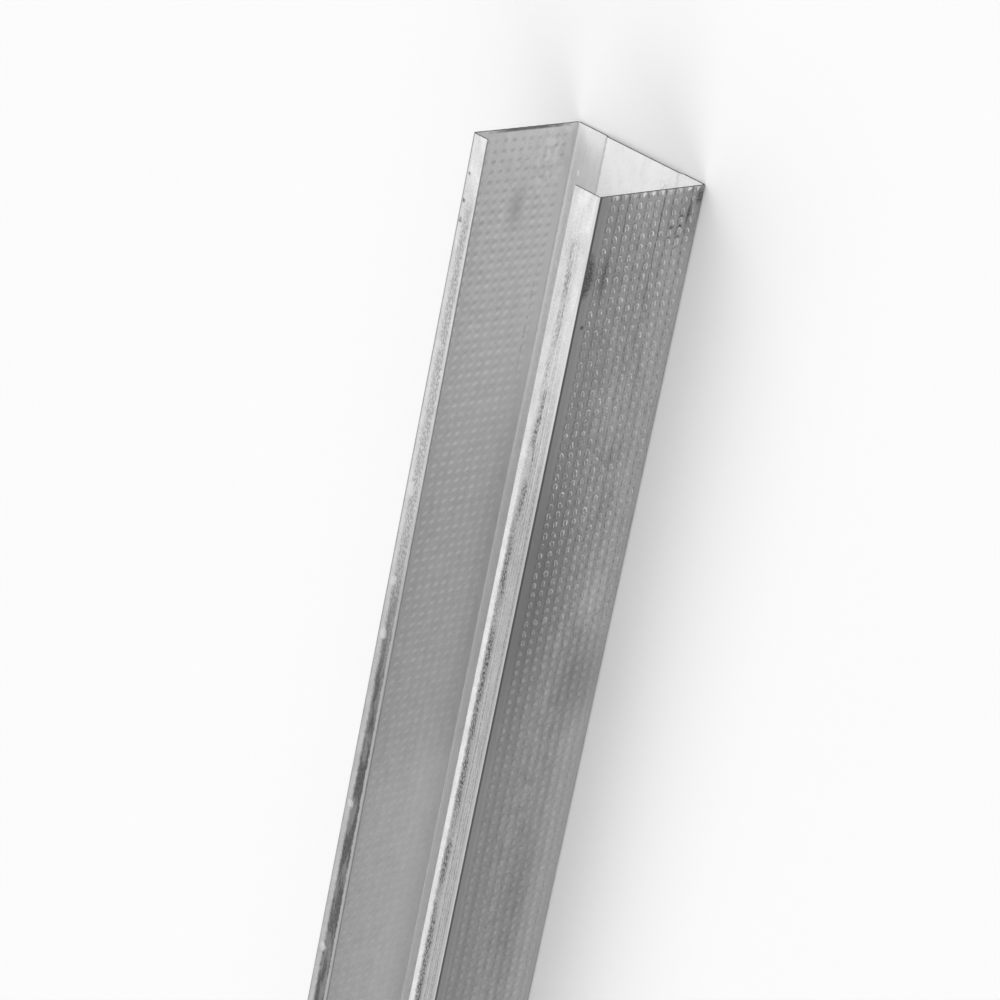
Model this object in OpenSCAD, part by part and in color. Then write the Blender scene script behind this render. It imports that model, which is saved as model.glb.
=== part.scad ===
// Light steel framing stud: one roll-formed lipped channel, lying on its web.
// All sizes are in millimetres. X runs along the stud, Y across the web, Z up from the floor.

/* [Section] */
// width of the web, outside to outside
web_width = 41.3; // [35:0.1:150]
// height of each flange, outside of the web to outside of the lip
flange_height = 33; // [25:0.1:60]
// thickness of the galvanised sheet
sheet = 0.48; // [0.4:0.01:1.2]
// radius of every bend, measured on its outer side
bend_radius = 0.8; // [0.7:0.05:3]
// wide lip, on the -Y flange, from the flange's outer face to its free edge
wide_lip = 8; // [4:0.1:12]
// narrow lip, on the +Y flange, from the flange's outer face to its free edge
narrow_lip = 6.6; // [4:0.1:12]

/* [Web panel] */
// width of the flat top of the web's pressed-in panel
panel_width = 22.8; // [10:0.1:28]
// how far the panel and the punchouts sit off the web's middle, towards -Y
panel_shift = 1.3; // [0:0.1:3]
// how far the panel is pressed in towards the open side
panel_rise = 0.5; // [0.2:0.05:1.5]
// width of the sloping step beside the panel
panel_ramp = 1.2; // [0.5:0.1:4]

/* [Length] */
// cut length of the stud
stud_length = 2440; // [600:1:3700]
// width of the narrow lip at the +X end, where its edge draws in
narrow_lip_at_end = 4.8; // [3:0.1:8]
// length over which the narrow lip reaches its full width
lip_draw_in = 220; // [50:5:400]

/* [Punchouts] */
// width of a punchout across the web
punchout_width = 19; // [10:0.5:40]
// length of a punchout along the stud
punchout_length = 44.5; // [20:0.5:120]
// distance from an end to the nearest punchout's centre
punchout_first = 305; // [150:1:600]
// distance between the centres of two punchouts
punchout_pitch = 610; // [300:1:1220]
// number of punchouts
punchout_count = 4; // [1:1:6]

/* [Hidden] */
$fn = 64;
steel_color = [0.72, 0.72, 0.72];
// plain overlap so that a cut starts outside the solid
clear = 1;
half_web = web_width / 2;
half_length = stud_length / 2;
inner_radius = bend_radius - sheet;
panel_half = panel_width / 2;
punchout_radius = punchout_width / 2;
punchout_straight = punchout_length - punchout_width;

// a rectangle from (-half, low) to (half, high) with round corners
module round_box(half, low, high, r) {
    translate([-half, low + r]) square([2 * half, high - low - 2 * r]);
    translate([r - half, low]) square([2 * half - 2 * r, high - low]);
    for (side = [-1, 1]) {
        translate([side * (half - r), low + r]) circle(r = r);
        translate([side * (half - r), high - r]) circle(r = r);
    }
}

// the stepped panel: its foot lies at the given level and its flat top one rise higher
module panel(level) {
    translate([-panel_shift, 0]) polygon([
        [-panel_half - panel_ramp, level - clear],
        [-panel_half - panel_ramp, level],
        [-panel_half, level + panel_rise],
        [panel_half, level + panel_rise],
        [panel_half + panel_ramp, level],
        [panel_half + panel_ramp, level - clear]
    ]);
}

// the space inside the sheet, with the web's panel standing into it
module hollow() {
    difference() {
        round_box(half_web - sheet, sheet, flange_height - sheet, inner_radius);
        panel(sheet);
    }
}

// the gap between the free edges of the two lips
module mouth() {
    mouth_low = flange_height - bend_radius - clear;
    translate([wide_lip - half_web, mouth_low])
        square([web_width - wide_lip - narrow_lip, bend_radius + 2 * clear]);
}

// cross-section of the stud: width across, height up
module section() {
    difference() {
        round_box(half_web, 0, flange_height, bend_radius);
        hollow();
        panel(0);
        mouth();
    }
}

// the section run along X
module rolled_channel() {
    translate([-half_length, 0, 0])
        rotate([90, 0, 90])
            linear_extrude(height = stud_length)
                section();
}

// one oblong hole through the web, centred at x
module punchout(x) {
    translate([x, -panel_shift, -clear])
        linear_extrude(height = panel_rise + sheet + 2 * clear) {
            square([punchout_straight, punchout_width], center = true);
            for (side = [-1, 1]) {
                translate([side * punchout_straight / 2, 0]) circle(r = punchout_radius);
            }
        }
}

// the sliver missing from the narrow lip's free edge towards the +X end
module drawn_in_edge() {
    full_edge = half_web - narrow_lip;
    end_edge = half_web - narrow_lip_at_end;
    translate([0, 0, flange_height - bend_radius - clear])
        linear_extrude(height = bend_radius + 2 * clear)
            polygon([
                [half_length - lip_draw_in, full_edge],
                [half_length - lip_draw_in, full_edge - clear],
                [half_length + clear, full_edge - clear],
                [half_length + clear, end_edge],
                [half_length, end_edge]
            ]);
}

module c_stud() {
    color(steel_color)
        difference() {
            rolled_channel();
            for (i = [0 : punchout_count - 1]) {
                punchout(punchout_first + i * punchout_pitch - half_length);
            }
            drawn_in_edge();
        }
}

c_stud();
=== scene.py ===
"""A drywall metal stud lying on its web: knurled flanges, scuffed lips with painted reflections and a cut
end, on a pale floor.

The rolled sheet is built as a few closed runs that meet end to end along X, because its knurling
holds too many faces for one mesh. Lengths are in metres, in the part's own frame.
"""

import math

import bpy
import numpy as np
from mathutils import Matrix, Vector
from mathutils.geometry import delaunay_2d_cdt


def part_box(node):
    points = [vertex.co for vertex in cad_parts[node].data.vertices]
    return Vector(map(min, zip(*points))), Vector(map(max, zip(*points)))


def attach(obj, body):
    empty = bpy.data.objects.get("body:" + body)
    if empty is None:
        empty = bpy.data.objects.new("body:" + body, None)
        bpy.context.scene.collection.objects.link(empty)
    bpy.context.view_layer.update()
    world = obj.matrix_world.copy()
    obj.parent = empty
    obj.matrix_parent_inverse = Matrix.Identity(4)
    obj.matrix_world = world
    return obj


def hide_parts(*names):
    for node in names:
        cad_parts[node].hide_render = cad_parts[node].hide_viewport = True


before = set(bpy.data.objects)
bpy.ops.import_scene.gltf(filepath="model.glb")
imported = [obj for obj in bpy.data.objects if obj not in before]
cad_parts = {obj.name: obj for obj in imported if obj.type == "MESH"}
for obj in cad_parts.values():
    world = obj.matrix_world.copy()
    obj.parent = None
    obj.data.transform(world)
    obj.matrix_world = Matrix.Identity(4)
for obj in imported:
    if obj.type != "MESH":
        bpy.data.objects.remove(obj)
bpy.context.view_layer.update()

STUD_LOW, STUD_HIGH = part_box("c_stud")
MM = 0.001

# The section, as in the part's source
SHEET = 0.48 * MM
BEND = 0.8 * MM
WIDE_LIP = 8.0 * MM
NARROW_LIP = 6.6 * MM
NARROW_LIP_AT_END = 4.8 * MM
LIP_DRAW_IN = 220 * MM
PANEL_WIDTH = 22.8 * MM
PANEL_SHIFT = 1.3 * MM
PANEL_RISE = 0.5 * MM
PANEL_RAMP = 1.2 * MM
PUNCHOUT_LENGTH = 44.5 * MM
PUNCHOUT_RADIUS = 9.5 * MM
PUNCHOUT_STRAIGHT = PUNCHOUT_LENGTH / 2 - PUNCHOUT_RADIUS  # half of its straight part
PUNCHOUT_FIRST = 305 * MM
PUNCHOUT_PITCH = 610 * MM
PUNCHOUT_COUNT = 4

LENGTH = STUD_HIGH.x - STUD_LOW.x
HALF_WIDTH = (STUD_HIGH.y - STUD_LOW.y) / 2
HEIGHT = STUD_HIGH.z - STUD_LOW.z
END_X = STUD_HIGH.x

# The knurling: columns run along the stud, rows run up the flange
KNURL_COLUMNS = 10
KNURL_ROWS = 1000
ROW_PITCH = LENGTH / KNURL_ROWS
# Height of the top column's centre and the columns' pitch, on the -Y (wide lip) and the +Y side
COLUMNS = {-1: (HEIGHT - 4.5 * MM, 2.82 * MM), 1: (HEIGHT - 5.45 * MM, 2.68 * MM)}
LOWEST_KNURL_EDGE = BEND + 0.05 * MM
# How far past its row each dent of the -Y and of the +Y side sits, towards the far end
DENT_SHIFT = {-1: 0.3 * MM, 1: 0.0}
DENT_RADIUS = 0.88 * MM
DENT_DEPTH = 0.20 * MM
BUMP_RADIUS = 0.80 * MM
BUMP_HEIGHT = 0.055 * MM
# The row that the cut end runs through is pressed nearly flat by the shear
SHEARED_ROW_SHARE = 0.35

# Steps from a cell's centre to the eight points around it: along the stud, along the section
AROUND = [(-1, -1), (0, -1), (1, -1), (1, 0), (1, 1), (0, 1), (-1, 1), (-1, 0)]
# How far a round dent's diagonal points reach along each side, which rounds its square outline
CORNER_SHARE = 0.84
# A round dent's rings, from its rim inwards: share of the radius and of the depth
DENT_RINGS = [(1.0, 0.0), (0.80, 0.45), (0.56, 0.95)]

# Each run: its name, its first and last knurl row counted from the +X end, and whether its dents are round
RUNS = [
    ("stud_end_run", 0, 56, True),
    ("stud_second_run", 57, 113, True),
    ("stud_third_run", 114, 409, False),
    ("stud_fourth_run", 410, 705, False),
    ("stud_last_run", 706, 1000, False),
]
# Stretches of a bend, and of a lip, in a run with round dents and in one without
BEND_STEPS = {True: 6, False: 4}
LIP_STEPS = {True: 6, False: 3}
PUNCHOUT_END_STEPS = 14
SHARP_EDGE_DEG = 55


def add_object(name, data):
    """Adds a new object to the scene."""
    new = bpy.data.objects.new(name, data)
    bpy.context.scene.collection.objects.link(new)
    return new


# ---------------------------------------------------------------- section

def column_centres(side):
    """Heights of the knurl columns' centres on a flange, from the top down."""
    top, pitch = COLUMNS[side]
    return [top - k * pitch for k in range(KNURL_COLUMNS)]


def knurl_levels(side, fine):
    """Heights of the knurl cells' edges from the top down, and if fine also of the columns' centres."""
    pitch = COLUMNS[side][1]
    centres = column_centres(side)
    edges = [c + pitch / 2 for c in centres]
    edges.append(max(centres[-1] - pitch / 2, LOWEST_KNURL_EDGE))
    if not fine:
        return edges
    levels = [edges[0]]
    for centre, edge in zip(centres, edges[1:]):
        levels += [centre, edge]
    return levels


class Section:
    """The closed outline of the sheet, walked from the wide lip's free edge to the narrow lip's.

    outer and inner hold matching (y, z) points; zones says what each stretch between two points is.
    """

    def __init__(self, fine):
        self.outer, self.inner, self.zones = [], [], []
        self.bend_steps = BEND_STEPS[fine]
        lip_steps = LIP_STEPS[fine]
        mid_y = HALF_WIDTH - BEND
        mid_z = HEIGHT - BEND
        y_free = WIDE_LIP - HALF_WIDTH
        for k in range(lip_steps):
            y = y_free + (-mid_y - y_free) * k / lip_steps
            self.add((y, HEIGHT), (y, HEIGHT - SHEET), "wide_lip")
        self.add_bend(-mid_y, mid_z, 90)
        self.add_flange(-1, knurl_levels(-1, fine))
        self.add_bend(-mid_y, BEND, 180)
        top = PANEL_WIDTH / 2
        foot = top + PANEL_RAMP
        left = [(-foot, 0, "web"), (-top, PANEL_RISE, "panel")]
        right = [(top, PANEL_RISE, "web"), (foot, 0, "web")]
        for y, z, zone in left + right:
            y -= PANEL_SHIFT
            self.add((y, z), (y, z + SHEET), zone)
        self.add_bend(mid_y, BEND, 270)
        self.add_flange(1, knurl_levels(1, fine)[::-1])
        self.add_bend(mid_y, mid_z, 0, "narrow_lip")
        y_free = HALF_WIDTH - NARROW_LIP
        for k in range(1, lip_steps + 1):
            y = mid_y + (y_free - mid_y) * k / lip_steps
            self.add((y, HEIGHT), (y, HEIGHT - SHEET), "narrow_lip")
        self.zones.pop()
        self.count = len(self.outer)

    def add(self, outer, inner, zone):
        """Adds a pair of points, and the zone that starts there."""
        self.outer.append(outer)
        self.inner.append(inner)
        self.zones.append(zone)

    def add_bend(self, y, z, start_deg, last_zone="web"):
        """Adds a quarter turn around (y, z), and the zone that follows it."""
        for k in range(self.bend_steps + 1):
            angle = math.radians(start_deg + 90 * k / self.bend_steps)
            cos, sin = math.cos(angle), math.sin(angle)
            outer, inner = [(y + radius * cos, z + radius * sin) for radius in (BEND, BEND - SHEET)]
            self.add(outer, inner, "bend" if k < self.bend_steps else last_zone)

    def add_flange(self, side, levels):
        """The knurled stretch of a flange; side is -1 at -Y and 1 at +Y."""
        self.zones[-1] = "margin"
        for k, z in enumerate(levels):
            zone = "knurl" if k < len(levels) - 1 else "margin"
            self.add((side * HALF_WIDTH, z), (side * (HALF_WIDTH - SHEET), z), zone)


# ---------------------------------------------------------------- mesh

def zone_look(zone, side, inner):
    """The look of a stretch of the section; side is -1 at -Y and 1 at +Y."""
    if zone == "bend" and not inner:
        return "scuffed_shaded_flange" if side < 0 else "back_flange"
    if zone in ("knurl", "margin"):
        if inner:
            return "inner_flange" if side > 0 else "shaded_inner_flange"
        return "back_flange" if side > 0 else "scuffed_shaded_flange"
    if zone in ("wide_lip", "narrow_lip") and not inner:
        return zone
    return "trough" if inner else "sheet"


class RunMesh:
    """Collects the vertices and faces of one run of the stud.

    The section goes down the -Y flange and up the +Y one, so side also says which way it goes.
    """

    def __init__(self, first_row, last_row, fine):
        self.fine = fine
        self.section = Section(fine)
        self.first_row = first_row
        self.last_row = last_row
        self.at_end = first_row == 0
        # Where the stations start in a run with round dents, in half rows
        self.first_mark = 0 if self.at_end else 2 * first_row - 1
        self.stations = self.make_stations()
        self.vertices = []
        self.vertex_total = 0
        self.polygons = []
        self.polygon_slots = []
        self.rims = {}

    def make_stations(self):
        """Distances of the rings of vertices from the +X end."""
        if self.fine:
            marks = np.arange(self.first_mark, 2 * self.last_row + 2) / 2
        else:
            marks = np.arange(self.first_row - 1, self.last_row + 1) + 0.5
        return np.minimum(marks * ROW_PITCH, LENGTH)

    def add_vertices(self, points):
        """Adds an array of points and returns their indices, arranged as they are."""
        start = self.vertex_total
        self.vertices.append(points.reshape(-1, 3))
        self.vertex_total += len(self.vertices[-1])
        return np.arange(start, self.vertex_total).reshape(points.shape[:-1])

    def add_faces(self, corners, look, flip):
        """Adds faces given as rows of vertex indices, with the named look."""
        if flip:
            corners = corners[:, ::-1]
        self.polygons.append(corners)
        self.polygon_slots.append(np.full(len(corners), LOOKS.index(look)))

    def add_band(self, first, second, look, flip, use=slice(None)):
        """Adds the quads between two rows of vertices, or those of them that use picks."""
        quads = np.stack([first[:-1], first[1:], second[1:], second[:-1]], 1)
        self.add_faces(quads[use], look, flip)

    def surface(self, inner):
        """Adds the sheet's outer or inner face and returns its grid of vertex indices and its cap rows."""
        section = self.section
        path = np.array(section.inner if inner else section.outer)
        grid = np.zeros((len(self.stations), section.count, 3))
        grid[:, :, 0] = (END_X - self.stations)[:, None]
        grid[:, :, 1:] = path
        self.draw_in_lip(grid)
        if self.fine:
            for side, first, last in self.knurl_spans():
                self.press_centres(grid, side, first, last, inner)
        index = self.add_vertices(grid)
        self.plain_faces(index, inner)
        caps = {}
        for side, first, last in self.knurl_spans():
            if self.fine:
                self.round_cells(grid, index, side, first, last, inner, caps)
            else:
                self.square_cells(index, side, first, last, inner)
        self.panel_faces(index, inner)
        return index, caps

    def draw_in_lip(self, grid):
        """Shortens the narrow lip towards the +X end by moving its points."""
        lip_start = HALF_WIDTH - BEND
        y_free = HALF_WIDTH - NARROW_LIP
        missing = (NARROW_LIP - NARROW_LIP_AT_END) * np.maximum(0.0, 1 - self.stations / LIP_DRAW_IN)
        for k, (y, z) in enumerate(self.section.outer):
            if z < HEIGHT or y > lip_start or y < y_free - MM:
                continue
            grid[:, k, 1] += (lip_start - y) / (lip_start - y_free) * missing

    def knurl_spans(self):
        """(side, first point, last point) of each flange's knurled stretch."""
        zones = self.section.zones
        starts = [k for k, z in enumerate(zones) if z == "knurl" and zones[k - 1] != "knurl"]
        ends = [k + 1 for k, z in enumerate(zones) if z == "knurl" and zones[k + 1] != "knurl"]
        return [(-1, starts[0], ends[0]), (1, starts[1], ends[1])]

    def dent(self, inner):
        """Radius and depth of a dent on the outer face, or of a bump on the inner one."""
        return (BUMP_RADIUS, BUMP_HEIGHT) if inner else (DENT_RADIUS, DENT_DEPTH)

    def centre_rows(self):
        """Station index of each row of dent centres, in a run with round dents."""
        return 2 * np.arange(self.first_row, self.last_row + 1) - self.first_mark

    def by_row(self, value, share_at_end):
        """The value for each row of a run with round dents; the cut row gets only a share of it."""
        values = np.full(self.last_row - self.first_row + 1, value)
        if self.at_end:
            values[0] *= share_at_end
        return values

    def press_centres(self, grid, side, first, last, inner):
        """Moves the vertex in the middle of each round dent to the bottom of the dent."""
        depths = self.by_row(self.dent(inner)[1], SHEARED_ROW_SHARE)
        shifts = self.by_row(DENT_SHIFT[side], 0.0)
        rows, columns = self.centre_rows(), np.arange(first + 1, last, 2)
        grid[np.ix_(rows, columns, [0])] -= shifts[:, None, None]
        grid[np.ix_(rows, columns, [1])] -= side * depths[:, None, None]

    def plain_faces(self, index, inner):
        """Quads of every stretch of the section that holds no knurl and no punchout."""
        for k, zone in enumerate(self.section.zones):
            if zone in ("knurl", "panel"):
                continue
            side = -1 if self.section.outer[k][0] < 0 else 1
            self.add_band(index[:, k], index[:, k + 1], zone_look(zone, side, inner), inner)

    def dent_faces(self, loops, centres, sides_used, side, inner):
        """Faces of the knurl cells: quads between their loops, from the edge inwards, then a fan.

        A loop holds an array of indices for each point around the cells. sides_used picks, for each side
        of the loops, the rows of cells that have it.
        """
        look = zone_look("knurl", side, inner)
        for m, used in enumerate(sides_used):
            n = (m + 1) % len(sides_used)
            for out, into in zip(loops, loops[1:]):
                quad = np.stack([out[m], out[n], into[n], into[m]], -1)
                self.add_faces(quad[used].reshape(-1, 4), look, inner)
            tri = np.stack([into[m], into[n], centres], -1)
            self.add_faces(tri[used].reshape(-1, 3), look, inner)

    def round_cells(self, grid, index, side, first, last, inner, caps):
        """Cells with an eight-sided dent of three rings; the cut end leaves half a cell."""
        radius, depth = self.dent(inner)
        rows = self.centre_rows()
        columns = np.arange(first + 1, last, 2)
        rings = np.zeros((len(rows), len(columns), len(DENT_RINGS), len(AROUND), 3))
        rings[:] = grid[np.ix_(rows, columns)][:, :, None, None]
        rings[..., 1] = side * (HALF_WIDTH - (SHEET if inner else 0))
        depths = self.by_row(depth, SHEARED_ROW_SHARE)
        for r, (share, drop) in enumerate(DENT_RINGS):
            rings[:, :, r, :, 1] -= side * drop * depths[:, None, None]
            for m, (u, v) in enumerate(AROUND):
                reach = radius * share * (CORNER_SHARE if u and v else 1)
                rings[:, :, r, m, 0] -= u * reach
                rings[:, :, r, m, 2] += side * v * reach
        ring_index = self.add_vertices(rings)
        whole = np.arange(len(rows)) >= (1 if self.at_end else 0)
        ends = zip(AROUND, AROUND[1:] + AROUND[:1])
        sides_used = [whole | (min(a[0], b[0]) >= 0) for a, b in ends]
        edge = [index[np.ix_(np.maximum(rows + u, 0), columns + v)] for u, v in AROUND]
        loops = [edge, *np.moveaxis(ring_index, (2, 3), (0, 1))]
        self.dent_faces(loops, index[np.ix_(rows, columns)], sides_used, side, inner)
        if self.at_end:
            up, down = AROUND.index((0, -1)), AROUND.index((0, 1))
            for c, column in enumerate(columns):
                inwards, outwards = ring_index[0, c, :, up], ring_index[0, c, ::-1, down]
                caps[column] = [*inwards, index[0, column], *outwards]

    def square_cells(self, index, side, first, last, inner):
        """Cells with a four-sided pyramid dent, for the runs that are only seen from afar."""
        radius, depth = self.dent(inner)
        rows = np.arange(self.last_row - self.first_row + 1)
        whole = rows[self.first_row + rows < KNURL_ROWS]
        columns = np.arange(first, last)
        cells = np.zeros((len(whole), len(columns), 5, 3))
        s = (self.first_row + whole) * ROW_PITCH
        cells[..., 0] = (END_X - s - DENT_SHIFT[side])[:, None, None]
        cells[..., 1] = side * (HALF_WIDTH - (SHEET if inner else 0))
        cells[..., 2] = np.array(column_centres(side)[::-side])[None, :, None]
        for m, (u, v) in enumerate(((-1, -1), (1, -1), (1, 1), (-1, 1))):
            cells[:, :, m, 0] -= u * radius * CORNER_SHARE
            cells[:, :, m, 2] += side * v * radius * CORNER_SHARE
        cells[:, :, 4, 1] -= side * depth
        cell_index = np.moveaxis(self.add_vertices(cells), 2, 0)
        corner_steps = ((0, 0), (1, 0), (1, 1), (0, 1))
        corners = [index[np.ix_(whole + u, columns + v)] for u, v in corner_steps]
        loops = [corners, cell_index[:4]]
        self.dent_faces(loops, cell_index[4], [slice(None)] * 4, side, inner)
        if len(whole) < len(rows):
            quad = [index[np.ix_([rows[-1] + u], columns + v)] for u, v in corner_steps]
            self.add_faces(np.stack(quad, -1).reshape(-1, 4), zone_look("knurl", side, inner), inner)

    def panel_faces(self, index, inner):
        """The web's panel: plain quads, and a filled outline around each punchout."""
        k = self.section.zones.index("panel")
        level = (self.section.inner if inner else self.section.outer)[k][1]
        plain = np.ones(len(self.stations) - 1, bool)
        for s_mid in [PUNCHOUT_FIRST + n * PUNCHOUT_PITCH for n in range(PUNCHOUT_COUNT)]:
            reach = PUNCHOUT_LENGTH / 2 + ROW_PITCH
            near = np.where(np.abs(self.stations - s_mid) < reach)[0]
            if len(near) < 2:
                continue
            i0, i1 = near[0] - 1, near[-1] + 1
            plain[i0:i1] = False
            self.punched_patch(index, i0, i1, k, s_mid, level, inner)
        self.add_band(index[:, k], index[:, k + 1], zone_look("panel", 0, inner), inner, plain)

    def punched_patch(self, index, i0, i1, k, s_mid, level, inner):
        """Fills the panel between two stations around one punchout, and keeps its rim for the wall."""
        span = np.arange(i0, i1 + 1)
        edge = [(i, k) for i in span] + [(i, k + 1) for i in span[::-1]]
        edge_2d = [(self.stations[i], self.section.outer[j][0]) for i, j in edge]
        rim_2d = [(s_mid + ds, dy - PANEL_SHIFT) for ds, dy in punchout_outline()]
        points = [Vector(p) for p in edge_2d + rim_2d]
        n_edge, n_rim = len(edge_2d), len(rim_2d)
        edges = [(a, (a + 1) % n_edge) for a in range(n_edge)]
        edges += [(n_edge + a, n_edge + (a + 1) % n_rim) for a in range(n_rim)]
        found, _, faces, *_ = delaunay_2d_cdt(points, edges, [], 0, 1e-7)
        rim = self.add_vertices(np.array([(END_X - s, y, level) for s, y in rim_2d]))
        names = [index[i, j] for i, j in edge] + list(rim)
        # The filler may reorder its points, so each is matched back to the nearest one given
        given = np.array([tuple(p) for p in points])
        matched = [int(np.argmin(((given - np.array(tuple(p))) ** 2).sum(1))) for p in found]
        keep = []
        for face in faces:
            ids = [matched[f] for f in face]
            centre = given[ids].mean(0)
            if in_punchout(centre[0] - s_mid, centre[1] + PANEL_SHIFT):
                continue
            if signed_area(given[ids]) < 0:
                ids = ids[::-1]
            keep.append([names[f] for f in ids])
        self.add_faces(np.array(keep), zone_look("panel", 0, inner), inner)
        self.rims.setdefault(s_mid, []).append(rim)

    def build(self, name):
        """Adds every face of the run and returns its object."""
        outer, outer_caps = self.surface(False)
        inner, inner_caps = self.surface(True)
        last = self.section.count - 1
        for k, flip in ((0, True), (last, False)):
            self.add_band(outer[:, k], inner[:, k], "back_flange", flip)
        first_rows = self.cap_row(outer[0], outer_caps), self.cap_row(inner[0], inner_caps)
        self.add_band(*first_rows, "cut_edge", False)
        self.add_band(outer[-1], inner[-1], "cut_edge", True)
        for rims in self.rims.values():
            self.add_band(*[np.append(rim, rim[0]) for rim in rims], "cut_edge", False)
        return self.finish(name)

    def cap_row(self, row, caps):
        """Vertex indices along the run's first end, with the half dents' points put in."""
        out = []
        for k, vertex in enumerate(row):
            out += caps.get(k, [vertex])
        return np.array(out)

    def finish(self, name):
        """Makes the Blender mesh, drops unused vertices and marks the sheet's sharp edges."""
        vertices = np.concatenate(self.vertices)
        loops = np.concatenate([p.reshape(-1) for p in self.polygons])
        sizes = np.concatenate([np.full(len(p), p.shape[1]) for p in self.polygons])
        slots = np.concatenate(self.polygon_slots)
        used, loops = np.unique(loops, return_inverse=True)
        vertices = vertices[used]
        starts = np.concatenate(([0], np.cumsum(sizes)[:-1]))
        mesh = bpy.data.meshes.new(name)
        mesh.vertices.add(len(vertices))
        mesh.vertices.foreach_set("co", vertices.astype(np.float32).ravel())
        mesh.loops.add(len(loops))
        mesh.loops.foreach_set("vertex_index", loops.astype(np.int32).ravel())
        mesh.polygons.add(len(sizes))
        mesh.polygons.foreach_set("loop_start", starts.astype(np.int32))
        mesh.polygons.foreach_set("material_index", slots.astype(np.int32))
        mesh.update(calc_edges=True)
        mesh.validate()
        mesh.shade_smooth()
        mesh.set_sharp_from_angle(angle=math.radians(SHARP_EDGE_DEG))
        return add_object(name, mesh)


def punchout_outline():
    """The oblong's outline around its own centre, as (along, across) points."""
    radius, straight = PUNCHOUT_RADIUS, PUNCHOUT_STRAIGHT
    points = []
    for side, start in ((1, -90), (-1, 90)):
        for k in range(PUNCHOUT_END_STEPS + 1):
            angle = math.radians(start + 180 * k / PUNCHOUT_END_STEPS)
            points.append((side * straight + radius * math.cos(angle), radius * math.sin(angle)))
    return points


def in_punchout(ds, dy):
    """Whether a point, given from the oblong's centre, is inside it."""
    along = max(abs(ds) - PUNCHOUT_STRAIGHT, 0)
    return math.hypot(along, dy) < PUNCHOUT_RADIUS * 0.999


def signed_area(points):
    """The area of an outline, negative where its points run the other way round."""
    x, y = points[:, 0], points[:, 1]
    return 0.5 * float(np.sum(x * np.roll(y, -1) - y * np.roll(x, -1)))


# ---------------------------------------------------------------- materials

# Millimetres from the end between which the photographed wear turns plainer, outside the picture
UNSEEN = (250, 330)
# Noise that makes painted edges uneven: its scale, and its reach in millimetres along and down
WOBBLE_SCALE = 0.8
WOBBLE_REACH = (0.9, 0.35)


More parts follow.
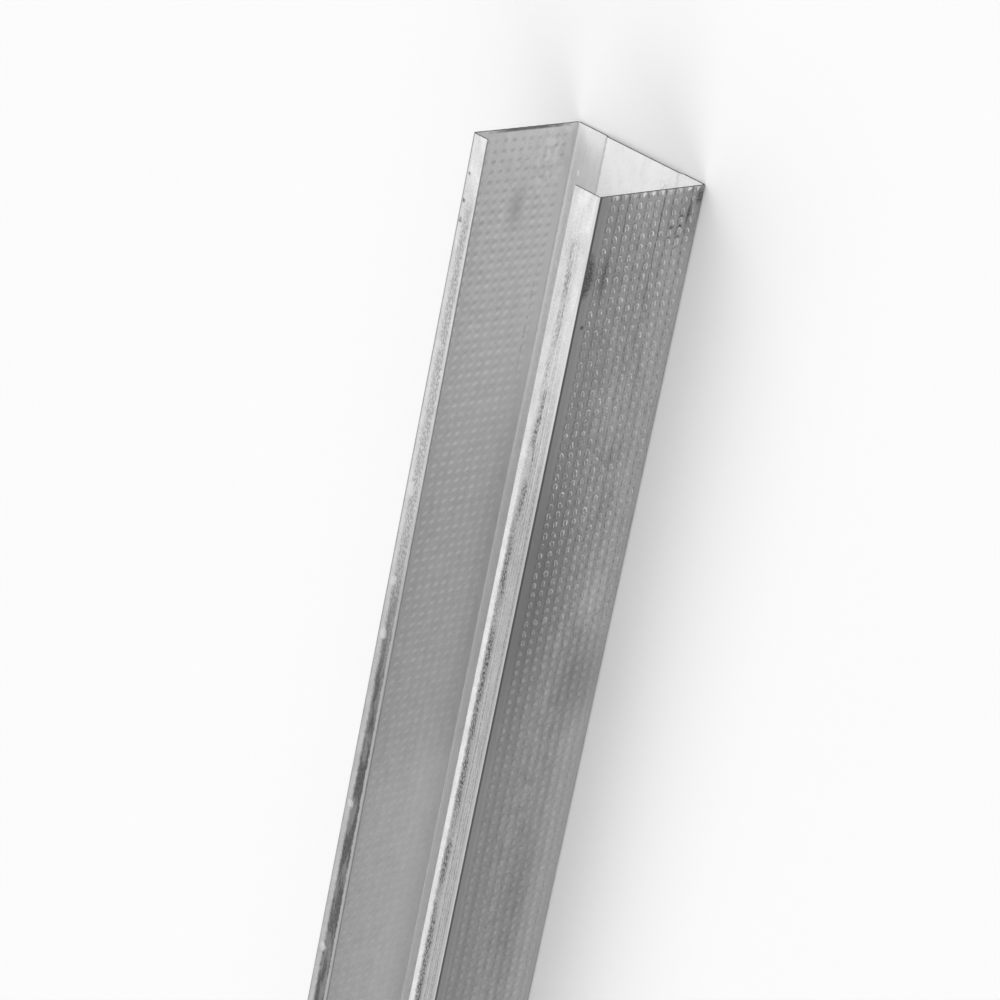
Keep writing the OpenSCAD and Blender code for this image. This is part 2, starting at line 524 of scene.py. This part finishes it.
class Look:
    """A material being built: short names for the nodes that the steel needs, and the paint so far.

    along is the distance from the +X end and down the distance from an edge of the face, both in
    millimetres. rough_along and rough_down are the same with uneven edges. Masks and greys are numbers
    or nodes' outputs.
    """

    def __init__(self, name, down_axis, down_start, down_sign):
        self.material = bpy.data.materials.new(name)
        self.material.use_nodes = True
        self.tree = self.material.node_tree
        self.shader = self.tree.nodes["Principled BSDF"]
        position = self.node("ShaderNodeTexCoord").outputs["Object"]
        split = self.node("ShaderNodeSeparateXYZ", [position]).outputs
        self.along = self.math("MULTIPLY_ADD", split["X"], -1 / MM, END_X / MM)
        self.down = self.math("MULTIPLY_ADD", split[down_axis], down_sign / MM, down_start / MM)
        self.place = self.node("ShaderNodeCombineXYZ", [self.along, self.down]).outputs[0]
        self.rough_place = self.warp(self.place)
        split = self.node("ShaderNodeSeparateXYZ", [self.rough_place]).outputs
        self.rough_along, self.rough_down = split["X"], split["Y"]
        self.unseen = self.fade(*UNSEEN)
        self.shade = self.roughness = self.bump = 0.0

    def node(self, kind, inputs=(), **settings):
        """Adds a node with its settings and its inputs."""
        node = self.tree.nodes.new(kind)
        for key, value in settings.items():
            setattr(node, key, value)
        self.wire(node, inputs)
        return node

    def wire(self, node, inputs):
        """Links a node's inputs to other nodes, or sets plain values on them, in order or by name."""
        for key, value in inputs.items() if isinstance(inputs, dict) else enumerate(inputs):
            if isinstance(value, bpy.types.NodeSocket):
                self.tree.links.new(value, node.inputs[key])
            else:
                node.inputs[key].default_value = value

    def math(self, operation, a, b=0.0, c=0.0, clamp=False):
        """One step of arithmetic."""
        return self.node("ShaderNodeMath", [a, b, c], operation=operation, use_clamp=clamp).outputs[0]

    def noise(self, size, detail=2.0, roughness=0.5, seed=0.0):
        """Noise around 0.5 whose grains measure size, given as (along, down) in millimetres."""
        scale = (1 / size[0], 1 / size[1], 1.0)
        inputs = {"Vector": self.place, "Location": (seed, seed, 0.0), "Scale": scale}
        place = self.node("ShaderNodeMapping", inputs, vector_type="POINT").outputs[0]
        inputs = {"Vector": place, "Scale": 1.0, "Detail": detail, "Roughness": roughness}
        return self.node("ShaderNodeTexNoise", inputs, noise_dimensions="2D").outputs[0]

    def blots(self, size, seed, low, high, to_low=0.0, to_high=1.0, detail=2.0, roughness=0.5):
        """Noise as a mask: to_low where the noise is under low, and to_high where it is over high."""
        return self.ramp(self.noise(size, detail, roughness, seed), low, high, to_low, to_high)

    def warp(self, place):
        """The place, pushed about by noise so that what is painted by it gets uneven edges."""
        reach_along, reach_down = WOBBLE_REACH
        inputs = {"Vector": place, "Scale": WOBBLE_SCALE, "Detail": 2.0}
        noise = self.node("ShaderNodeTexNoise", inputs, noise_dimensions="2D").outputs["Color"]
        inputs = [noise, (2 * reach_along, 2 * reach_down, 0.0), place]
        push = self.node("ShaderNodeVectorMath", inputs, operation="MULTIPLY_ADD").outputs[0]
        inputs = [push, (reach_along, reach_down, 0.0)]
        return self.node("ShaderNodeVectorMath", inputs, operation="SUBTRACT").outputs[0]

    def ramp(self, value, low, high, to_low=0.0, to_high=1.0):
        """A smooth step from to_low, where the value is low, to to_high, where it is high.

        Where low is the larger number, the step is met from the other side.
        """
        inputs = [value, low, high, to_low, to_high]
        return self.node("ShaderNodeMapRange", inputs, interpolation_type="SMOOTHSTEP").outputs[0]

    def fade(self, low, high, to_low=0.0, to_high=1.0):
        """A smooth step along the stud."""
        return self.ramp(self.along, low, high, to_low, to_high)

    def patch(self, start, end, top, bottom, gain=2.0, even=False):
        """A soft oval from start to end along the stud and from top to bottom down the face."""
        inputs = {
            "Vector": self.place if even else self.rough_place,
            "Location": ((start + end) / 2, (top + bottom) / 2, 0.0),
            "Scale": ((end - start) / 2, (bottom - top) / 2, 1.0),
        }
        fit = self.node("ShaderNodeMapping", inputs, vector_type="TEXTURE").outputs[0]
        oval = self.node("ShaderNodeTexGradient", [fit], gradient_type="SPHERICAL")
        return self.math("MULTIPLY", oval.outputs["Fac"], gain, clamp=True)

    def patches(self, places):
        """Several soft ovals, each given as (start, end, top, bottom, gain, strength)."""
        return self.most([self.times(self.patch(*place), strength) for *place, strength in places])

    def strip(self, top, bottom, soft):
        """A band from top to bottom of the face that runs the whole length."""
        upper = self.ramp(self.rough_down, top - soft, top + soft)
        lower = self.ramp(self.rough_down, bottom + soft, bottom - soft)
        return self.times(upper, lower)

    def times(self, *masks):
        """All the masks multiplied together."""
        out = masks[0]
        for mask in masks[1:]:
            out = self.math("MULTIPLY", out, mask)
        return out

    def most(self, masks):
        """Wherever any of the masks is strong."""
        out = masks[0]
        for mask in masks[1:]:
            out = self.math("MAXIMUM", out, mask)
        return out

    def blend(self, below, above, mask):
        """The number below, passing to the number above by the mask."""
        inputs = {"Factor": mask, "A": below, "B": above}
        return self.node("ShaderNodeMix", inputs, data_type="FLOAT").outputs["Result"]

    def cell(self, side, row_shift=0.0):
        """Millimetres from the middle of the nearest dent, along the stud and down the face, and a mask.

        The mask is 1 on the knurling. row_shift moves the middles towards the far end, in rows.
        """
        top_column, column_pitch = COLUMNS[side]
        row_shift += DENT_SHIFT[side] / ROW_PITCH
        row = self.math("MULTIPLY_ADD", self.along, MM / ROW_PITCH, 0.5 - row_shift)
        u = self.math("SUBTRACT", self.math("FRACT", row), 0.5)
        first = (HEIGHT - top_column) / column_pitch
        column = self.math("MULTIPLY_ADD", self.down, MM / column_pitch, 0.5 - first)
        v = self.math("SUBTRACT", self.math("FRACT", column), 0.5)
        middle = self.math("SUBTRACT", column, KNURL_COLUMNS / 2)
        inside = self.math("LESS_THAN", self.math("ABSOLUTE", middle), KNURL_COLUMNS / 2)
        return self.times(u, ROW_PITCH / MM), self.times(v, column_pitch / MM), inside

    def jitter(self, seed, reach):
        """A small shift, at most reach either way, that varies from dent to dent."""
        return self.math("MULTIPLY_ADD", self.noise((3.2, 3.2), seed=seed), 2 * reach, -reach)

    def oval(self, u, v, centre, size):
        """Distance from a place in the cell, as a share of the oval's half size."""
        terms = zip((u, v), centre, size)
        parts = [self.math("MULTIPLY_ADD", value, 1 / half, -middle / half) for value, middle, half in terms]
        join = self.node("ShaderNodeCombineXYZ", parts).outputs[0]
        return self.node("ShaderNodeVectorMath", [join], operation="LENGTH").outputs["Value"]

    def coat(self, shade, roughness, unevenness=0.3, streakiness=1.0):
        """Lays the zinc that every face has: rolling streaks, soft mottling and fine grain."""
        streaks = self.noise((70.0, 0.4), detail=3.0, roughness=0.6, seed=3.1)
        mottles = self.noise((5.0, 2.4), detail=4.0, roughness=0.62, seed=7.7)
        grains = self.noise((0.55, 0.28), roughness=0.6, seed=1.3)
        waves = self.noise((9.0, 5.0), detail=1.0, seed=5.2)
        start = 1 - (1 + streakiness / 2) * unevenness
        factor = self.math("MULTIPLY_ADD", streaks, unevenness * streakiness, start)
        factor = self.math("MULTIPLY_ADD", mottles, unevenness, factor)
        factor = self.math("MULTIPLY_ADD", grains, unevenness, factor)
        self.shade = self.times(factor, shade)
        rough = self.math("MULTIPLY_ADD", mottles, 0.20, roughness - 0.16)
        self.roughness = self.math("MULTIPLY_ADD", streaks, 0.12, rough)
        self.bump = self.math("MULTIPLY_ADD", grains, 0.005, self.times(waves, 0.012))

    def paint(self, grey, *masks):
        """Takes the shade towards a grey by the masks multiplied together."""
        self.shade = self.blend(self.shade, grey, self.times(*masks))

    def finish(self, metallic):
        """Wires the paint and the metallic share into the shader, and returns the material."""
        grey = self.node("ShaderNodeCombineColor", [self.shade] * 3)
        bump = self.node("ShaderNodeBump", {"Strength": 1.0, "Distance": MM, "Height": self.bump})
        self.wire(self.shader, {
            "Base Color": grey.outputs[0],
            "Roughness": self.roughness,
            "Metallic": metallic,
            "Normal": bump.outputs[0],
        })
        return self.material


def make_sheet():
    """The web's back and the lips' undersides."""
    look = Look("sheet", "Y", HALF_WIDTH, -1)
    look.coat(0.60, 0.42)
    return look.finish(0.8)


def make_trough():
    """The inside of the web and of the bends. Its near-white, mostly matt tone is partly painted light."""
    look = Look("trough", "Y", HALF_WIDTH, -1)
    panel_edge = (HALF_WIDTH - PANEL_WIDTH / 2 + PANEL_SHIFT) / MM
    # Painted light and shade: lighter near the open cut end and darker further in; then a touch darker
    # towards the wide lip's side
    beside = look.blend(0.98, 0.77, look.fade(-1, 9))
    beside = look.blend(beside, 0.64, look.fade(30, 100))
    panel = look.blend(1.0, 0.88, look.fade(6, 24))
    plain = look.blend(beside, panel, look.ramp(look.down, panel_edge - 0.6, panel_edge))
    plain = look.blend(plain, 0.95, look.ramp(look.down, 29.5, 31.5))
    look.coat(plain, 0.42, 0.2, 0.4)

    # The bend: a painted highlight along its foot, smears beside it and painted shade in it
    line = look.math("MULTIPLY_ADD", look.fade(110, 25), 0.55, 0.08)
    look.paint(1.0, look.strip(0.80, 1.35, 0.10), line)
    smears = look.blots((1.6, 0.9), 4.1, 0.45, 0.62)
    look.paint(0.45, smears, look.strip(2.0, 3.1, 0.3), look.fade(8, 18), 0.25)
    look.paint(0.66, look.ramp(look.down, 0.80, 0.70))

    # Painted shade along the two steps of the panel, a fleck and a smudge
    look.paint(0.66, look.strip(panel_edge - PANEL_RAMP / MM + 0.3, panel_edge, 0.25))
    look.paint(1.0, look.patch(10.3, 12.0, 3.0, 3.8))
    look.paint(0.72, look.strip(33.2, 33.8, 0.2), 0.6)
    blots = look.blots((0.8, 0.6), 3.3, 0.3, 0.7, detail=3.0)
    look.paint(0.60, look.patch(1.5, 9.5, 27.8, 32.4, gain=1.2), blots, 0.7)
    return look.finish(0.15)


def dent_wear_and_shading(look, side, wear):
    """An outer face's rolled dents: a rim, partly burnished and partly painted highlight, open at its far
    end, and painted shadow on the upper wall.

    Where wear is 1, the rim is rubbed down to a soft spot.
    """
    u, v, inside = look.cell(side)
    u = look.math("ADD", u, look.jitter(1.7, 0.6))
    v = look.math("ADD", v, look.jitter(6.2, 0.5))
    # The rim: partly burnish, partly painted highlight
    # Straight legs run from the near half of an oval towards the far end
    ring = look.oval(look.math("MINIMUM", u, 0.2), v, (0.2, 0.18), (0.48, 0.46))
    rim = look.times(look.ramp(ring, 0.58, 0.88), look.ramp(ring, 1.35, 1.05))
    rim = look.times(rim, look.ramp(v, -0.5, 0.5, 0.7, 1.0))
    spot = look.ramp(look.oval(u, v, (0.5, 0.1), (0.8, 0.6)), 1.5, 0.2)
    rim = look.blend(rim, look.times(spot, 0.6), wear)
    rim = look.times(rim, look.ramp(u, 1.1, 0.75), inside)
    uneven = look.blots((0.8, 0.55), 8.8, 0.38, 0.60, 0.40, 1.45, detail=1.0)
    uneven = look.blend(uneven, 0.95, wear)
    # Painted shadow on the dent's upper wall
    wall = look.ramp(look.oval(u, v, (0.55, -0.78), (0.8, 0.32)), 1.2, 0.5)
    return look.times(rim, uneven), look.times(wall, inside)


# The painted shade and highlights of an inner face: rows past the dent, middle and half size in the cell,
# and where they end
BUMP_TOP = (0.0, (0.15, -0.4), (0.5, 0.78), 1.5)
FLAT_BETWEEN = (0.5, (0.1, -0.3), (0.5, 0.75), 1.6)
MARK_SLANT = 0.2


def bump_shade_and_highlights(look, side):
    """An inner face's bumps: painted shade on their tops, and painted highlights on the flats between rows.
    """
    uneven = look.blots((5.0, 4.0), 3.4, 0.36, 0.62, 0.70, 1.15)
    marks = []
    for row_shift, middle, size, end in (BUMP_TOP, FLAT_BETWEEN):
        u, v, inside = look.cell(side, row_shift)
        u = look.math("MULTIPLY_ADD", v, MARK_SLANT, u)
        mark = look.ramp(look.oval(u, v, middle, size), end, 0.2)
        marks.append(look.times(mark, inside, uneven))
    return marks


def make_back_flange():
    """The outer face of the narrow lip's flange, and the lips' free edges: cleaner than the other side,
    which is also painted darker as shade.
    """
    look = Look("back_flange", "Z", HEIGHT, -1)
    look.coat(0.46, 0.42, 0.5, 0.6)
    # The dents' rims, partly burnish and partly painted highlight, and painted shadow on their upper walls
    rim, wall = dent_wear_and_shading(look, 1, 0.0)
    look.paint(0.90, rim, 0.5)
    look.paint(0.16, wall, 0.5)
    return look.finish(0.8)


def make_shaded_inner_flange():
    """The inner face of the wide lip's flange."""
    look = Look("shaded_inner_flange", "Z", HEIGHT, -1)
    look.coat(0.70, 0.40, 0.3, 0.3)
    # Painted shade on the bumps' tops and painted highlights on the flats between rows
    top, flat = bump_shade_and_highlights(look, -1)
    look.paint(0.42, top, 0.3)
    look.paint(0.92, flat, 0.4)
    return look.finish(0.7)


# Soft ovals on the scuffed flange: start, end, top, bottom, gain and strength, as for Look.patches
DULL_AREAS = [(34, 152, -14, 18, 1.4, 0.9), (4, 60, -5, 9, 1.0, 0.4), (152, 205, 8, 30, 1.2, 0.45)]
# Painted sheen: lighter ovals, mostly towards the corner with the web
SHEEN_AREAS = [
    (10, 84, 22, 34, 1.2, 0.5),
    (36, 66, 11, 40, 1.6, 0.32),
    (86, 112, 19, 33, 1.4, 0.9),
    (-20, 12, 3, 34, 1.0, 0.25),
    (130, 290, 25, 37, 1.6, 0.5),
]
SMUDGES = [
    (12.0, 25.0, -4.5, 3.6, 3.0, 1.0),
    (12.5, 25.0, 4.2, 8.0, 1.4, 0.7),
    (0.2, 4.6, 30.0, 33.6, 2.0, 0.8),
    (2.8, 8.8, 28.4, 30.3, 2.2, 0.8),
    (8.4, 9.8, 23.6, 25.6, 1.6, 0.5),
]
# Score lines that the rollers left between the columns of dents: the number of the column above it,
# where it fades out along the stud, and its strength
SCORE_LINES = [(0, 24, 0.35), (1, 20, 0.7), (3, 16, 0.2), (5, 32, 0.9), (6, 30, 0.2), (8, 30, 0.2)]
SCORE_BELOW_COLUMN = 1.9
SCORE_HALF_WIDTH = 0.22
# Short dark dashes across the face: the row and the column of the dent above, and the strength
TICKS = [(2, 8, 0.8), (3, 8, 1.0), (3, 7, 0.6), (4, 8, 0.8), (4, 7, 0.5), (5, 8, 0.4), (5, 7, 0.2)]
TICK_PAST_ROW = 0.75
TICK_HALF_SIZE = (0.35, 1.1)
# How bright the painted highlight is where the cut end passes through the first dent of each column
NICK_HIGHLIGHTS = (0.45, 0.3, 0.3, 0.85, 0.95, 0.75, 0.3, 0.5, 0.95, 0.45)


def paint_dents(look):
    """The scuffed flange's dents, crisp near the cut end then rubbed soft: burnish and painted highlight on
    the rims, painted shadow on the upper walls, dull metal between.
    """
    wear = look.math("SUBTRACT", look.fade(70, 140), look.unseen)
    rim, wall = dent_wear_and_shading(look, -1, wear)
    worn = look.blots((4.0, 3.0), 2.6, 0.36, 0.62, 0.45, 1.0, detail=3.0, roughness=0.7)
    worn = look.blend(worn, 0.8, look.times(wear, 0.7))
    strength = look.times(look.fade(10, 45, 0.64, 0.42), look.fade(70, 150, 1.0, 0.46))
    crisp = look.patch(30, 150, -12, 24, gain=1.4, even=True)
    strength = look.times(strength, look.blend(1.0, 1.5, crisp))
    strength = look.blend(strength, 0.55, look.unseen)
    # Rims: burnish and painted highlight; upper walls: painted shadow
    look.paint(0.90, rim, worn, strength)
    look.paint(0.12, wall, strength, 0.8)

    _, v, inside = look.cell(-1)
    between = look.ramp(look.math("ABSOLUTE", v), 0.85, 1.4)
    upper = look.ramp(look.down, 8.2, 6.4, 0.15, 0.32)
    lower = look.ramp(look.down, 22, 28, 1.0, 0.4)
    look.paint(0.16, between, inside, look.fade(60, 85), upper, lower)


def column_depths():
    """Millimetres from the top of the scuffed flange to each column of dents."""
    return [(HEIGHT - z) / MM for z in column_centres(-1)]


def paint_cut_end(look):
    """Painted highlights where the cut end passes through the first dents, and the score lines near the cut
    end of the scuffed flange.
    """
    depths = column_depths()
    nick_highlights = [(-0.5, 1.15, d + 0.3, d + 1.5, 2.6, strength) for d, strength in zip(depths, NICK_HIGHLIGHTS)]
    look.paint(0.80, look.patches(nick_highlights))
    lines = []
    for column, end, strength in SCORE_LINES:
        down = depths[column] + SCORE_BELOW_COLUMN
        top, bottom = down - SCORE_HALF_WIDTH, down + SCORE_HALF_WIDTH
        lines.append(look.times(look.patch(-end, end, top, bottom, gain=1.6, even=True), strength))
    look.paint(0.09, look.most(lines), look.blots((1.1, 0.8), 4.4, 0.34, 0.56))


def paint_ticks(look):
    """The short dark dashes near the cut end of the scuffed flange."""
    half_length, half_height = TICK_HALF_SIZE
    depths = column_depths()
    ticks = []
    for row, column, strength in TICKS:
        along = (row + TICK_PAST_ROW) * ROW_PITCH / MM
        down = depths[column]
        place = (along - half_length, along + half_length, down - half_height, down + half_height)
        ticks.append((*place, 1.8, strength))
    look.paint(0.07, look.patches(ticks), 0.85)


def make_scuffed_shaded_flange():
    """The outer face of the wide lip's flange, which is the dirtiest in the photograph; its darker tone is
    partly painted shade.
    """
    look = Look("scuffed_shaded_flange", "Z", HEIGHT, -1)
    # A darker base than the other outer flange: partly dirt and partly painted shade
    look.coat(0.365, 0.40, 0.75, 0.45)
    top_shade = look.times(look.ramp(look.rough_down, 18.0, 5.0), 0.65)
    top_rim = look.times(look.ramp(look.rough_down, 3.4, 2.0), 0.9)
    look.paint(0.24, look.most([look.patches(DULL_AREAS), top_shade, top_rim]))
    look.paint(0.10, look.patch(48, 142, -14, 19, gain=1.4), 0.38)
    # Painted sheen towards the corner with the web
    foot = look.times(look.ramp(look.rough_down, 20, 29), look.fade(4, 22), 0.75)
    look.paint(0.56, look.most([look.patches(SHEEN_AREAS), foot]))
    look.paint(0.22, look.patch(106, 136, 16, 34, gain=1.4), 0.5)

    streaks = look.times(look.blots((7.0, 0.35), 3.7, 0.52, 0.62), 0.25)
    specks = look.times(look.blots((0.7, 0.5), 5.1, 0.66, 0.72, detail=1.0), 0.5)
    scuffs = look.times(look.most([streaks, specks]), look.fade(4, 45, 0.45, 1.0))
    look.paint(0.13, scuffs, look.ramp(look.down, 2, 6), look.fade(95, 130, 1.0, 0.35))

    paint_dents(look)
    paint_cut_end(look)
    spot = look.patch(29.9, 31.0, 1.9, 3.3, gain=3.0, even=True)
    smudge = look.most([look.patches(SMUDGES), spot])
    look.paint(0.04, smudge, look.blots((0.55, 0.4), 9.4, 0.42, 0.54, 0.45, 1.0))
    paint_ticks(look)

    # The bend at the top: a painted highlight above, dimmer away from the cut end, and painted shade just
    # before the flange
    look.paint(0.10, look.ramp(look.down, 0.85, 0.55), 0.85)
    look.paint(look.fade(34, 90, 0.62, 0.40), look.ramp(look.down, 0.32, 0.20))
    return look.finish(look.math("MULTIPLY_ADD", smudge, -0.5, 0.8, clamp=True))


def make_inner_flange():
    """The inner face of the narrow lip's flange."""
    look = Look("inner_flange", "Z", HEIGHT, -1)
    plain = look.blend(0.70, 0.71, look.fade(8, 25))
    plain = look.blend(plain, 0.62, look.fade(50, 100))
    plain = look.blend(plain, 0.70, look.fade(145, 175))
    look.coat(plain, 0.40, 0.34, 0.15)

    # The foot of the face, which the trough lights
    look.paint(0.95, look.ramp(look.down, 24, 29), look.fade(90, 40), look.fade(0, 14, 0.0, 0.45))
    look.paint(0.95, look.ramp(look.down, 17, 27), look.fade(8, 25), look.fade(150, 170, 0.2, 0.42))

    # Painted shade on the bumps' tops near the cut end, and painted highlights on the flats between rows
    top, flat = bump_shade_and_highlights(look, 1)
    look.paint(0.42, top, look.blend(look.fade(4, 95, 0.40, 0.03), 0.3, look.unseen))
    look.paint(0.95, flat, look.fade(6, 22), look.fade(180, 60, 0.25, 0.50))

    burr = look.times(look.ramp(look.rough_down, 4, 12), look.ramp(look.rough_down, 32, 24))
    look.paint(0.12, look.fade(0.8, 0.4), burr, 0.85)
    blots = look.blots((3.0, 2.5), 2.9, 0.46, 0.6, detail=3.0)
    look.paint(0.95, look.patch(-4, 22, 20, 33, gain=1.6), blots, 0.5)
    look.paint(0.48, look.patch(12, 27, 14.5, 21.0, gain=1.0), 0.8)
    dashes = look.patch(30, 66, 28.0, 28.9, even=True)
    look.paint(0.50, dashes, look.blots((2.0, 3.0), 6.1, 0.42, 0.52), 0.5)
    return look.finish(0.7)


def make_wide_lip():
    """The upper face of the wide lip: clean and bright at the cut end, then rubbed dull and a painted
    dimming of its reflection, with a dark band along it.
    """
    look = Look("wide_lip", "Y", HALF_WIDTH, 1)
    # Darker away from the cut end: partly rubbed dull, partly a painted dimming of the lip's reflection
    away = look.fade(34, 90)
    plain = look.blend(0.75, 0.68, look.ramp(look.rough_along, 6, 12))
    plain = look.blend(plain, 0.47, away)
    free = look.blend(0.66, 0.72, away)
    plain = look.blend(plain, free, look.ramp(look.rough_down, 6.0, 6.9))
    look.coat(plain, 0.42, 0.5, 0.3)

    grain = look.blots((0.9, 0.3), 8.2, 0.42, 0.57, 0.3, 1.0, detail=3.0, roughness=0.7)
    blotches = look.blots((14.0, 4.0), 4.9, 0.40, 0.53, 0.55, 1.0)
    smears = look.blots((9.0, 1.3), 2.3, 0.36, 0.60, 0.28, 1.0, detail=3.0, roughness=0.6)
    near = look.times(look.strip(3.4, 5.5, 0.9), look.ramp(look.rough_along, 7, 15), look.fade(98, 72))
    far = look.times(look.strip(4.5, 6.2, 0.6), look.fade(66, 92))
    bands = look.most([
        look.times(near, smears, look.fade(42, 56, 0.75, 0.95)),
        look.times(far, blotches),
        look.times(look.patch(3, 26, 2.0, 9.0, gain=1.0), 0.25),
        look.times(look.strip(2.8, 3.0, 0.25), look.patch(6, 80, -6, 12, gain=1.6), 0.4, blotches),
        look.times(look.strip(1.8, 2.1, 0.35), look.fade(50, 90), 0.35, blotches),
    ])
    look.paint(0.08, bands, grain)
    lines = look.blots((160.0, 0.5), 1.9, 0.44, 0.56)
    lines = look.times(lines, look.ramp(look.rough_down, 4.6, 3.8), look.fade(20, 80, 0.0, 0.8))
    look.paint(0.22, lines, grain)
    look.paint(0.72, look.strip(3.55, 3.8, 0.2), look.fade(6, 16), look.fade(130, 40), 0.7)
    return look.finish(0.75)


# On the narrow lip: pale ovals (place along the stud, length) and short dark ticks (place)
PALE_SPOTS = [(2.5, 1.5), (50, 3.0), (86, 4.6), (109, 3.0), (123, 3.6), (168, 2.4), (207, 2.4)]
LIP_TICKS = (9.3, 15.6, 20.2)


def make_narrow_lip():
    """The upper face of the narrow lip: a mottled band that turns near black away from the end, a painted
    reflection of something dark.
    """
    look = Look("narrow_lip", "Y", HALF_WIDTH, -1)
    # Darker away from the cut end: a painted dimming of the lip's reflection
    plain = look.blend(0.74, 0.66, look.ramp(look.rough_along, 8, 18))
    look.coat(look.blend(plain, 0.49, look.fade(70, 140)), 0.42, 0.5, 0.3)

    growth = (NARROW_LIP - NARROW_LIP_AT_END) / LIP_DRAW_IN
    edge = look.math("MULTIPLY_ADD", look.along, growth, NARROW_LIP_AT_END / MM)
    edge = look.math("MINIMUM", edge, NARROW_LIP / MM)
    from_edge = look.math("SUBTRACT", edge, look.rough_down)
    across = look.times(look.ramp(look.rough_down, 1.3, 2.8), look.ramp(from_edge, 0.5, 1.1))

    grain = look.blots((0.9, 0.45), 5.9, 0.42, 0.57, 0.25, 1.0, detail=3.0, roughness=0.7)
    medium = look.times(across, look.ramp(look.rough_along, 9, 24), 0.8)
    look.paint(0.28, medium, grain, look.fade(150, 110))
    # Painted reflection of something dark: the band turns near black away from the end
    dark = look.times(across, look.ramp(look.rough_along, 90, 142), look.ramp(look.rough_down, 1.7, 3.0))
    clouds = look.blots((9.0, 1.6), 6.6, 0.38, 0.56, 0.72, 1.0, detail=3.0)
    look.paint(0.085, dark, clouds, look.math("MULTIPLY_ADD", grain, 0.15, 0.85))
    look.paint(0.34, look.ramp(from_edge, 0.9, 0.4), look.fade(30, 120), 0.55)

    spots = [look.patch(at - size / 2, at + size / 2, 0.9, 3.4, gain=2.5) for at, size in PALE_SPOTS]
    look.paint(0.72, look.most(spots), 0.55)
    ticks = [look.patch(at - 0.5, at + 0.5, 0.7, 1.9) for at in LIP_TICKS]
    look.paint(0.15, look.most(ticks), 0.8)
    return look.finish(0.75)


def make_cut_edge():
    """The sheared edges of the ends and of the punchouts: dark and grainy."""
    look = Look("cut_edge", "Z", HEIGHT, -1)
    grains = look.noise((0.5, 0.5), detail=3.0, seed=2.2)
    look.shade = look.math("MULTIPLY_ADD", grains, 0.08, 0.02)
    look.roughness = 0.5
    look.bump = look.times(grains, 0.01)
    return look.finish(0.7)


# Material slots: the faces that the photograph shows have looks of their own
MATERIALS = [
    make_sheet(), make_trough(), make_back_flange(), make_scuffed_shaded_flange(), make_inner_flange(),
    make_shaded_inner_flange(), make_wide_lip(), make_narrow_lip(), make_cut_edge(),
]
LOOKS = [material.name for material in MATERIALS]


# ---------------------------------------------------------------- stage

# Where the photograph was taken from, fitted to the stud's corners and long edges
CAMERA_AZIMUTH_DEG = 31.280
CAMERA_ELEVATION_DEG = 42.570
CAMERA_ROLL_DEG = -100.884
CAMERA_DISTANCE = 900 * MM
CAMERA_AIM = Vector((END_X - 85.86 * MM, 6.24 * MM, 16.17 * MM))
LENS_MM = 141.09
SENSOR_MM = 36

FLOOR_REACH = 30.0
FLOOR_GREY = 0.875
FLOOR_GLOW = 0.04
WORLD_STRENGTH = 0.28
# Name, direction towards it, how wide it looks in degrees, and irradiance
SOFTBOXES = [
    ("top_softbox", (-0.25, 0.18, 0.95), 96, 1.53),
    ("end_softbox", (0.60, 0.40, 0.70), 46, 0.82),
    ("side_softbox", (-0.72, -0.42, 0.55), 42, 0.80),
]


def set_camera():
    """A long lens above the -Y side, beyond the +X end, rolled so that the stud runs up the picture."""
    azimuth, elevation = math.radians(CAMERA_AZIMUTH_DEG), math.radians(CAMERA_ELEVATION_DEG)
    back = Vector((
        math.sin(azimuth) * math.cos(elevation),
        -math.cos(azimuth) * math.cos(elevation),
        math.sin(elevation),
    ))
    camera = add_object("camera", bpy.data.cameras.new("camera"))
    camera.data.lens = LENS_MM
    camera.data.sensor_width = SENSOR_MM
    camera.location = CAMERA_AIM + back * CAMERA_DISTANCE
    upright = back.to_track_quat("Z", "Y").to_matrix()
    roll = Matrix.Rotation(math.radians(CAMERA_ROLL_DEG), 3, "Z")
    camera.rotation_euler = (upright @ roll).to_euler()
    bpy.context.scene.camera = camera


def make_floor():
    """A pale matt floor. A little light of its own keeps it near white around the stud."""
    floor_mesh = bpy.data.meshes.new("floor")
    r = FLOOR_REACH
    corners = [(-r, -r, 0), (r, -r, 0), (r, r, 0), (-r, r, 0)]
    floor_mesh.from_pydata(corners, [], [(0, 1, 2, 3)])
    floor = add_object("floor", floor_mesh)
    material = bpy.data.materials.new("floor_paper")
    material.use_nodes = True
    shader = material.node_tree.nodes["Principled BSDF"]
    for name, value in (
        ("Base Color", (FLOOR_GREY, FLOOR_GREY, FLOOR_GREY, 1)),
        ("Roughness", 0.9),
        ("Specular IOR Level", 0.1),
        ("Emission Color", (1, 1, 1, 1)),
        ("Emission Strength", FLOOR_GLOW),
    ):
        shader.inputs[name].default_value = value
    floor_mesh.materials.append(material)


def add_softbox(name, towards, spread_deg, irradiance):
    """A wide soft lamp so far away that it lights the whole length of the stud alike."""
    light = bpy.data.lights.new(name, "SUN")
    light.angle = math.radians(spread_deg)
    light.energy = irradiance
    direction = Vector(towards).normalized()
    add_object(name, light).rotation_euler = direction.to_track_quat("Z", "X").to_euler()


def light_studio():
    """The softboxes and an even white world."""
    world = bpy.data.worlds.new("studio")
    world.use_nodes = True
    background = world.node_tree.nodes["Background"]
    background.inputs["Color"].default_value = (1, 1, 1, 1)
    background.inputs["Strength"].default_value = WORLD_STRENGTH
    bpy.context.scene.world = world
    for softbox in SOFTBOXES:
        add_softbox(*softbox)
    bpy.context.scene.view_settings.view_transform = "Standard"


def make_stud():
    """The stud's runs, in place of the solid."""
    for name, first_row, last_row, fine in RUNS:
        piece = RunMesh(first_row, last_row, fine).build(name)
        for material in MATERIALS:
            piece.data.materials.append(material)
        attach(piece, "root")
        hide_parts("c_stud")


make_stud()
make_floor()
light_studio()
set_camera()
